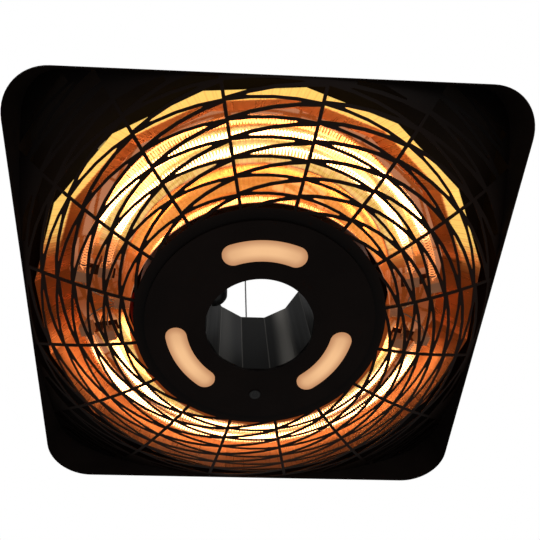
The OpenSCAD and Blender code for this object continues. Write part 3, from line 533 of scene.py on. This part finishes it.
class HEATER_OT_reflector(Operator):
    """Gives the reflector its gold mirror finish with a painted glow and painted reflections of the
    elements, and the parts near it theirs
    """

    bl_idname = "heater.reflector"
    bl_label = "Reflector"

    # Angles over which the painted bright bands fade out, at the near half's end and the far half's
    # end
    near_fade = (1.1, 1.4)
    far_fade = (1.7, 1.95)
    # Angles between which the sides have no element and get painted shade, with their fades
    side_start = (1.3, 1.5)
    side_end = (1.64, 1.84)
    # Height above the rim at which the wall's painted ribbon ends, and the radii of the roof's
    # painted band
    ribbon_top = (0.019, 0.024)
    band_start = (0.154, 0.158)
    band_end = (0.193, 0.197)
    # How many fine and coarse ribs there are round the hood in the painted reflections, with their
    # depths
    rib_waves = ((430, 0.1), (170, 0.08))

    def execute(self, context):
        colours = context.scene.heater_finishes
        finish(self.wall(colours), "reflector_outer")
        finish(self.roof(colours), "reflector_roof", "reflector_inner")
        finish(self.ceramic(), "tube_end_caps", "lead_bushes")
        finish(zinc_steel("Heat-tinted steel", (0.5, 0.4, 0.3), 0.35), "tube_leads")
        # The tube brackets' dark copper-brown is painted shade, as at the reflector's unlit sides
        finish(zinc_steel("Shaded copper-brown steel", (0.09, 0.032, 0.015), 0.4), "tube_brackets")
        finish(zinc_steel("Bracket steel"), "reflector_brackets")
        finish(self.wool(), "insulation_ring")
        return {"FINISHED"}

    def wall(self, colours):
        """Dull gold sheet with a painted glow, and a painted reflection of the elements as a bright
        ribbon low on its near half.
        """
        look, place, painted_ribs, lit = self.sheet("Gold reflector wall", colours.wall, (0.25, 0.4))
        _, angle, height = place
        glow = shaded(colours.glow, 0.22)
        even = look.mix(lit, shaded(glow, 1.4), glow)
        low = height.between(*self.ribbon_top, 1.0, 0.0)
        painted_ribbon = low * abs(angle).between(*self.near_fade, 1.0, 0.0)
        return look.set(Emission_Color=self.glowing(look, painted_ribbon * painted_ribs, even, colours.painted_ribbon))

    def roof(self, colours):
        """Glossy gold sheet with a painted glow, brightest in a painted reflection of the elements
        in the band under them.
        """
        look, place, painted_ribs, lit = self.sheet("Gold reflector roof", colours.gold, (0.03, 0.1))
        radius, angle, _ = place
        glow = tuple(colours.glow)
        share = lit * abs(angle).between(1.3, 2.6, 1.0, 0.35)
        even = look.mix(share, shaded(glow, 0.65), glow)
        along = abs(angle).between(*self.near_fade, 1.0, 0.0) + abs(angle).between(*self.far_fade)
        across = radius.between(*self.band_start) * radius.between(*self.band_end, 1.0, 0.0)
        element_light = across * along * painted_ribs * 0.75
        return look.set(Emission_Color=self.glowing(look, element_light, even, colours.painted_ribbon))

    def glowing(self, look, element_light, even, painted_ribbon):
        """Painted light: a colour from the even painted glow through amber to the painted ribbon's
        colour, as its share of the elements' light grows to 1.
        """
        amber = shaded(painted_ribbon, 0.6, 0.3, 0.28)
        warm = look.mix(element_light.between(0.0, 0.5), even, amber)
        return look.mix(element_light.between(0.25, 0.85), warm, tuple(painted_ribbon))

    def sheet(self, name, colour, roughness):
        """Polished sheet with fine streaks, painted shade at the sides where no element lights it,
        and faint ribs in its painted reflections.

        Returns the look, its place on the hood, the ribs of the painted reflections, and 1 where
        elements light it.
        """
        look = Look(name, Metallic=1.0, Emission_Strength=1.0)
        radius, angle, height = place = look.round_hood()
        lit = abs(angle).between(*self.side_start, 1.0, 0.0) + abs(angle).between(*self.side_end)
        streaks = look.noise(1, 4, 0.6, start=look.point(angle * 70, height * 9, radius * 9))
        stain = look.noise(14, 5, 0.6)
        fine, coarse = ((angle * count).sine() * depth for count, depth in self.rib_waves)
        painted_ribs = fine + coarse + 0.8
        stained = shaded(colour, 0.85)
        # Painted shade: a darker base colour at the sides, where no element lights the sheet
        unlit_shade = shaded(colour, 0.45, 0.24, 0.2)
        bright = look.mix(stain.between(0.4, 0.75), tuple(colour), stained)
        look.set(
            Base_Color=look.mix(lit, unlit_shade, bright),
            Roughness=streaks.between(0.3, 0.75, *roughness),
        )
        look.bump(streaks, 0.2, 0.0002)
        return look, place, painted_ribs, lit

    def ceramic(self):
        """Porous, brown steatite with a faint painted glow of the elements' light."""
        look = Look("Steatite", Roughness=0.55, Emission_Strength=1.0)
        pores = look.cells(900).between(0.1, 0.35)
        grime = look.noise(70, 4, 0.6)
        look.set(
            Base_Color=look.mix(grime, (0.42, 0.27, 0.17), (0.3, 0.17, 0.1)),
            # Painted light: the emission is the elements' orange light painted on the caps, varied
            # by the same noise as the grime
            Emission_Color=look.mix(grime, (0.1, 0.03, 0.008), (0.05, 0.012, 0.003)),
        )
        return look.bump(pores, 0.3, 0.0002)

    def wool(self):
        """Pale matted fibres."""
        look = Look("Mineral wool", Roughness=0.95)
        fibres = look.noise(260, 6, 0.75, stretch=(1, 0.15, 1), distortion=2.0)
        look.set(Base_Color=look.mix(fibres, (0.62, 0.58, 0.42), (0.82, 0.8, 0.7)))
        return look.bump(fibres, 0.8, 0.0012)


class HEATER_OT_housing(Operator):
    """Paints the cover, the grille, the hub and the through tube"""

    bl_idname = "heater.housing"
    bl_label = "Housing"

    duct_panels = 12
    # Angle to each side of the duct's painted sheens, their half width, and the left one's share
    sheen_angle = 2.48
    sheen_width = 0.28
    left_share = 0.2
    # Radii between which the grille has a painted reddish glow of the elements' light, with their
    # fades
    painted_light_start = (0.12, 0.15)
    painted_light_end = (0.22, 0.3)

    def execute(self, context):
        colours = context.scene.heater_finishes
        paint = tuple(colours.paint)
        finish(powder_coat("Powder coat", paint, 0.42), "top_cover", "tube_collar", "ceiling_plate")
        # The grille's coat is a darker copy of the cover's paint, at 0.4 of it: painted shade
        finish(self.grille_coat(shaded(paint, 0.4)), "grille_plate")
        finish(self.hub_coat(tuple(colours.hub)), "lamp_disc")
        finish(self.duct(), "through_tube")
        finish(moulded_plastic("Gland plastic", (0.012, 0.012, 0.012), 0.38), "cable_gland")
        finish(zinc_steel("Cover screws", (0.3, 0.3, 0.3), 0.3), "cover_screws")
        return {"FINISHED"}

    def grille_coat(self, paint):
        """Powder coat with a painted reddish-brown glow of the elements' light in the ring under
        them.
        """
        look = powder_coat("Grille coat", paint, 0.45)
        radius, _, _ = look.round_hood()
        # Painted light: a reddish-brown base colour where the elements would light the grille
        element_light = radius.between(*self.painted_light_start) * radius.between(*self.painted_light_end, 1.0, 0.0)
        painted = look.shader.inputs["Base Color"].links[0].from_socket
        return look.set(Base_Color=look.mix(element_light, Signal(look, painted), (0.018, 0.009, 0.006)))

    def hub_coat(self, colour):
        """Satin coat with a fine ring where the disc is screwed to its carrier."""
        look = powder_coat("Hub coat", colour, 0.5, 0.15)
        radius, angle, height = look.round_hood()
        rub = look.noise(1, 3, 0.6, start=look.point(angle * 3, radius * 260, height))
        return look.set(Roughness=rub.between(0.3, 0.7, 0.42, 0.55))

    def duct(self):
        """Dark coated sheet with painted soft vertical sheens and painted highlights on its folds.
        """
        look = Look("Duct sheet", IOR=1.5, Specular_IOR_Level=0.25)
        _, angle, height = look.round_hood()
        cloud = look.noise(1, 3, 0.5, start=look.point(angle * 9, height * 4, 0.0))
        panel = angle * (self.duct_panels / (2 * math.pi)) + 0.5
        fold_highlight = panel.maths("PINGPONG", panel, 0.5).between(0.0, 0.035, 1.0, 0.0)
        painted_sheen = abs(abs(angle) - self.sheen_angle).between(0.0, self.sheen_width, 1.0, 0.0)
        side = angle.between(-2.9, 2.9, self.left_share, 1.0)
        # Painted sheens and fold highlights: a pale, half-metal base colour in the bands and along
        # the folds
        bright = (painted_sheen * side).most(fold_highlight * 0.45)
        dark, less_dark = (0.008, 0.0076, 0.007), (0.013, 0.0124, 0.0115)
        base = look.mix(cloud.between(0.35, 0.7), dark, less_dark)
        look.set(
            Base_Color=look.mix(bright, base, (0.3, 0.285, 0.26)),
            Metallic=bright * 0.5,
            Roughness=cloud.between(0.3, 0.7, 0.34, 0.46),
        )
        return look.bump(look.noise(500, 3), 0.12, 0.0002)


class HEATER_OT_lamps(Operator):
    """Gives the three lamp windows their lit, frosted finish"""

    bl_idname = "heater.lamps"
    bl_label = "Lamps"

    # Radius of the windows' ring, half of one's sweep between its round ends, and half its width
    ring_radius = 0.089
    half_sweep = math.radians(20.5)
    half_width = 0.0118
    # Half width of a window's brightest line, and the angles over which that dims to a share
    line_width = 0.002
    dimming = (0.1, 0.5)
    dimmed_share = 0.6

    def execute(self, context):
        colours = context.scene.heater_finishes
        board = circuit_board("Lamp board")
        for name, middle in (("near", 0.0), ("right", 120.0), ("left", -120.0)):
            finish(self.window(colours, name, math.radians(middle)), f"lamp_window_{name}")
            finish(board, f"lamp_board_{name}")
        return {"FINISHED"}

    def window(self, colours, name, middle):
        """Frosted window, brightest along its middle line. middle is its angle round the hood."""
        look = Look(f"Lamp window {name}", Roughness=0.5, Emission_Strength=1.0)
        x, y, _ = look.xyz()
        u = x * math.cos(middle) + y * math.sin(middle)
        v = x * math.sin(middle) - y * math.cos(middle)
        radius = (u * u + v * v).root()
        angle = u.angle_from(v)
        past = (abs(angle) - self.half_sweep).most(0.0) * self.ring_radius
        across = radius - self.ring_radius
        edge = (across * across + past * past).root()
        frost = look.noise(700, 2, 0.5)
        along = abs(angle).between(*self.dimming, 1.0, self.dimmed_share)
        lit = edge.between(self.line_width, self.half_width, 1.0, 0.2) * along
        shine = look.mix(lit, tuple(colours.window_rim), tuple(colours.window))
        look.set(
            Base_Color=(0.05, 0.04, 0.035),
            Emission_Color=look.mix(frost * 0.06, shine, (0.6, 0.3, 0.14)),
        )
        return look.bump(frost, 0.1, 0.0001)


class HEATER_OT_button(Operator):
    """Finishes the power button and lays its mark on it"""

    bl_idname = "heater.button"
    bl_label = "Power button"

    # The mark's ring with half its gap in degrees, and its line, from the button's middle
    mark_radius = 0.004
    mark_gap = 32
    line_places = (-0.0053, -0.0035, -0.0014)
    # Radius of the bars that the mark is drawn with, and how flat they are pressed
    line_radius = 0.00034
    flatness = 0.25

    def execute(self, context):
        colours = context.scene.heater_finishes
        finish(moulded_plastic("Button plastic", (0.008, 0.008, 0.008), 0.4), "power_button")
        middle = (BUTTON_LOW + BUTTON_HIGH) / 2
        middle.z = BUTTON_LOW.z
        turn = np.radians(np.linspace(self.mark_gap, 360 - self.mark_gap, 40))
        reach = self.mark_radius
        ring = [(reach * math.sin(a), -reach * math.cos(a), 0.0) for a in turn]
        line = [(0.0, y, 0.0) for y in self.line_places]
        parts = []
        for points in (ring, line):
            vertices, faces = bar_mesh(np.array(points) + np.array(middle), self.line_radius, 8)
            vertices[:, 2] = middle.z + (vertices[:, 2] - middle.z) * self.flatness
            parts.append((vertices, faces))
        mark = make_piece("power_mark", parts, "button")
        look = Look("Printed mark", Roughness=0.5)
        worn = look.noise(900, 3, 0.6)
        shade = tuple(colours.mark)
        look.set(Base_Color=look.mix(worn.between(0.3, 0.7), shade, shaded(shade, 0.6)))
        finish(look, mark)
        return {"FINISHED"}


class HEATER_OT_suspension(Operator):
    """Lays the four ropes in strands and finishes the hook, rings and bolts"""

    bl_idname = "heater.suspension"
    bl_label = "Suspension"

    # A rope's own frame: its foot on the near side, its lean towards the axis, and along it the
    # top, the lower ferrule's foot and the loop round the eye bolt
    foot = Vector((0.0, -0.165, RIM_Z + 0.0778))
    tilt = math.atan2(0.143, 0.6222)
    top = 0.6524
    ferrule_foot = 0.01325
    loop_middle = 0.00245
    loop_radius = 0.006
    rope_radius = 0.00125
    # Points on a rope's straight length, round its loop, and on each leg of the loop
    rope_steps = 300
    loop_steps = 44
    leg_steps = 6

    def execute(self, context):
        settings = context.scene.heater_ropes
        wire = self.rope_wire()
        strand = self.rope_radius / 3
        ends = ((0, 0, self.top), (0, 0, self.ferrule_foot))
        line = np.concatenate([np.linspace(*ends, self.rope_steps)[:-1], self.loop()])
        for index, side in enumerate(("near", "right", "far", "left")):
            middle = self.placed(line, index)
            parts = [bar_mesh(middle[::2], strand * 1.05, 6)]
            for number in range(settings.strands):
                parts.append(self.strand(middle, strand, settings, number))
            rope = make_piece(f"rope_{side}", parts, HOOD)
            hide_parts(f"suspension_rope_{side}")
            finish(wire, rope)
        finish(self.crimped(), "rope_ferrules")
        hook_steel = zinc_steel("Hook steel", (0.62, 0.62, 0.61), 0.22)
        finish(hook_steel, "snap_hook", "hook_gate", "gate_pin")
        finish(zinc_steel("Ring steel"), "hanging_ring", "ceiling_eye", "eye_bolts", "eye_nuts")
        spring_steel = zinc_steel("Spring steel", (0.45, 0.45, 0.46), 0.25)
        finish(spring_steel, "gate_spring", "button_spring")
        return {"FINISHED"}

    def loop(self):
        """A drop-shaped loop from the ferrule's foot round the eye bolt and back."""
        start = math.acos(self.loop_radius / (self.ferrule_foot - self.loop_middle))
        sweep = np.linspace(start, 2 * math.pi - start, self.loop_steps)
        arc = np.stack(
            [
                np.zeros(self.loop_steps),
                self.loop_radius * np.sin(sweep),
                self.loop_middle + self.loop_radius * np.cos(sweep),
            ],
            axis=1,
        )
        head = np.array([0.0, 0.0, self.ferrule_foot])
        down = np.linspace(head, arc[0], self.leg_steps)[:-1]
        back = np.linspace(arc[-1], head, self.leg_steps)[1:]
        return np.concatenate([down, arc, back])

    def placed(self, line, quarter):
        """Takes points from a rope's own frame to its place on one side of the hood."""
        lean = np.array(Matrix.Rotation(-self.tilt, 3, "X"))
        turn = np.array(Matrix.Rotation(quarter * math.pi / 2, 3, "Z"))
        return (line @ lean.T + np.array(self.foot)) @ turn.T

    def strand(self, middle, radius, settings, number):
        """One strand of a rope, laid round the line of points at its middle."""
        along = directions(middle)
        side = steady_sides(middle, along)
        up = np.cross(along, side)
        turn = 2 * math.pi * (distances(middle) / settings.lay + number / settings.strands)
        points = middle + 2 * radius * (np.cos(turn)[:, None] * side + np.sin(turn)[:, None] * up)
        return bar_mesh(points, radius * 0.97, 5)

    def rope_wire(self):
        """Dull steel, with the fine wires that a strand is laid of."""
        look = Look("Rope wire", Metallic=1.0)
        x, y, z = look.xyz()
        wires = (z * 9000 + (x + y) * 5200).sine()
        grime = look.noise(90, 4, 0.6)
        look.set(
            Base_Color=look.mix(grime.between(0.4, 0.75), (0.24, 0.24, 0.24), (0.13, 0.125, 0.12)),
            Roughness=grime.between(0.3, 0.7, 0.28, 0.42),
        )
        return look.bump(wires * 0.5 + 0.5, 0.5, 0.0001)

    def crimped(self):
        """Aluminium with the marks of the pressing tool."""
        look = Look("Crimped aluminium", Metallic=1.0)
        _, _, z = look.xyz()
        pressed = (z * 2100).sine().between(-0.2, 0.8)
        grain = look.noise(500, 3)
        look.set(
            Base_Color=look.mix(pressed, (0.5, 0.5, 0.5), (0.68, 0.68, 0.67)),
            Roughness=grain.between(0.3, 0.7, 0.3, 0.45),
        )
        return look.bump(pressed, 0.6, 0.0004)


class HEATER_OT_inside(Operator):
    """Finishes the parts inside the hood"""

    bl_idname = "heater.inside"
    bl_label = "Inside"

    def execute(self, context):
        finish(zinc_steel("Chassis steel"), "chassis_plate", "support_posts", "thermal_cutout")
        box_plastic = moulded_plastic("Control box plastic", (0.03, 0.03, 0.034))
        finish(box_plastic, "control_box", "tilt_switch")
        finish(moulded_plastic("Pale plastic", (0.7, 0.68, 0.6)), "lamp_driver", "terminal_block")
        finish(circuit_board("Control board"), "control_board", "switch_board")
        finish(moulded_plastic("Silicone insulation", (0.35, 0.02, 0.015), 0.4), "wiring")
        return {"FINISHED"}


class HEATER_OT_stage(Operator):
    """Sets up the pale floor, the soft light and the camera of the photograph"""

    bl_idname = "heater.stage"
    bl_label = "Stage"

    # The camera's place, the directions to the right and up in its picture, and its shift
    position = Vector((-0.0466, -0.3300, -1.3504))
    right = Vector((0.9989, -0.0436, -0.0163))
    up = Vector((-0.03125, -0.88768, 0.4593))
    shift = 0.0611
    floor_radius = 9.0
    floor_sides = 96
    # Name, place, size and share of the soft light
    lamps = (
        ("Upper light", (1.6, -1.8, 0.6), 1.8, 2.2),
        ("Side light", (-2.0, -0.4, -0.3), 1.4, 1.0),
        ("Low light", (0.7, -1.3, -1.9), 1.0, 0.4),
    )
    lit_point = Vector((0, 0, -0.75))

    def execute(self, context):
        settings = context.scene.heater_stage
        scene = context.scene
        scene.view_settings.view_transform = "Standard"
        self.floor(settings)
        self.room(scene, settings)
        for name, place, size, share in self.lamps:
            self.lamp(name, place, size, settings.soft_light * share)
        camera = bpy.data.objects.new("Camera", bpy.data.cameras.new("Camera"))
        scene.collection.objects.link(camera)
        camera.data.lens = settings.lens
        camera.data.sensor_width = 36.0
        camera.data.shift_x = self.shift
        camera.data.clip_start = 0.02
        back = self.right.cross(self.up).normalized()
        up = back.cross(self.right).normalized()
        axes = Matrix((self.right.normalized(), up, back)).transposed().to_4x4()
        camera.matrix_world = Matrix.Translation(self.position) @ axes
        scene.camera = camera
        return {"FINISHED"}

    def floor(self, settings):
        """A round pale floor, well below the heater."""
        turn = np.linspace(0, 2 * math.pi, self.floor_sides, endpoint=False)
        reach = self.floor_radius
        vertices = [(reach * math.cos(a), reach * math.sin(a), -settings.floor_drop) for a in turn]
        mesh = bpy.data.meshes.new("floor")
        mesh.from_pydata(vertices, [], [tuple(range(self.floor_sides))])
        floor = bpy.data.objects.new("floor", mesh)
        bpy.context.scene.collection.objects.link(floor)
        look = Look("Pale floor", Roughness=0.8)
        cloud = look.noise(1.5, 4, 0.6)
        look.set(Base_Color=look.mix(cloud, (0.78, 0.78, 0.77), (0.84, 0.84, 0.83)))
        look.bump(look.noise(60, 4), 0.1, 0.001)
        finish(look, floor)

    def room(self, scene, settings):
        """A bright backdrop, and softer light of its own from all round."""
        world = bpy.data.worlds.new("Studio")
        scene.world = world
        world.use_nodes = True
        nodes, links = world.node_tree.nodes, world.node_tree.links
        nodes.clear()
        seen, light = nodes.new("ShaderNodeBackground"), nodes.new("ShaderNodeBackground")
        seen.inputs["Color"].default_value = light.inputs["Color"].default_value = (1, 1, 1, 1)
        seen.inputs["Strength"].default_value = settings.backdrop
        light.inputs["Strength"].default_value = settings.room_light
        path = nodes.new("ShaderNodeLightPath")
        mix = nodes.new("ShaderNodeMixShader")
        end = nodes.new("ShaderNodeOutputWorld")
        links.new(path.outputs["Is Camera Ray"], mix.inputs[0])
        links.new(light.outputs[0], mix.inputs[1])
        links.new(seen.outputs[0], mix.inputs[2])
        links.new(mix.outputs[0], end.inputs["Surface"])

    def lamp(self, name, place, size, power):
        """A large round lamp that points at the hood."""
        light = bpy.data.lights.new(name, "AREA")
        light.shape = "DISK"
        light.size = size
        light.energy = power
        lamp = bpy.data.objects.new(name, light)
        bpy.context.scene.collection.objects.link(lamp)
        lamp.location = place
        aim = self.lit_point - lamp.location
        lamp.rotation_euler = aim.to_track_quat("-Z", "Y").to_euler()


SETTINGS = {
    "heater_elements": HeaterElementSettings,
    "heater_finishes": HeaterFinishSettings,
    "heater_ropes": HeaterRopeSettings,
    "heater_stage": HeaterStageSettings,
}
OPERATORS = (
    HEATER_OT_stage,
    HEATER_OT_elements,
    HEATER_OT_reflector,
    HEATER_OT_housing,
    HEATER_OT_lamps,
    HEATER_OT_button,
    HEATER_OT_suspension,
    HEATER_OT_inside,
)


class HEATER_PT_panel(Panel):
    """Lists the heater's settings and the operators that build it"""

    bl_idname = "HEATER_PT_panel"
    bl_label = "Hanging heater"
    bl_space_type = "VIEW_3D"
    bl_region_type = "UI"
    bl_category = "Heater"

    def draw(self, context):
        for name, group in SETTINGS.items():
            box = self.layout.box()
            for setting in group.__annotations__:
                box.prop(getattr(context.scene, name), setting)
        for operator in OPERATORS:
            self.layout.operator(operator.bl_idname)


CLASSES = (*SETTINGS.values(), *OPERATORS, HEATER_PT_panel)


def register():
    for cls in CLASSES:
        bpy.utils.register_class(cls)
    for name, group in SETTINGS.items():
        setattr(bpy.types.Scene, name, PointerProperty(type=group))


def unregister():
    for name in SETTINGS:
        delattr(bpy.types.Scene, name)
    for cls in reversed(CLASSES):
        bpy.utils.unregister_class(cls)


def main():
    register()
    for operator in OPERATORS:
        group, name = operator.bl_idname.split(".")
        getattr(getattr(bpy.ops, group), name)()


if __name__ == "__main__":
    main()
